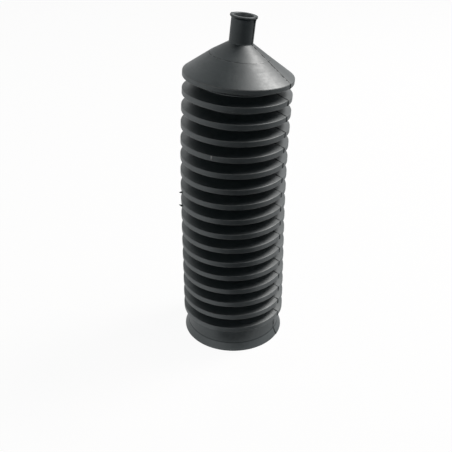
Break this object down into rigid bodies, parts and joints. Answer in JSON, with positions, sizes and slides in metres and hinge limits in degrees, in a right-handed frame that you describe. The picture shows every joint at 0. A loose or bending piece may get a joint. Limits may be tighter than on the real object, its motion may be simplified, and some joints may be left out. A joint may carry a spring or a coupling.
{
  "type": "rubber bellows boot",
  "caption": "Moulded rubber bellows boot: a folded tube with a clamp collar at the big end and a cone with a small neck at the other.",
  "frame": {"origin": "middle of the big end's mouth, on the plane the boot stands on", "axes": "+Z along the collar's axis, from the collar towards the neck; +X is the side that the neck leans to; +Y is square to both"},
  "size_m": [0.061, 0.06, 0.1882],
  "materials": {
    "rubber": "satin moulded black rubber"
  },
  "bodies": {
    "root": {"bellows_boot": "rubber"}
  },
  "joints": []
}
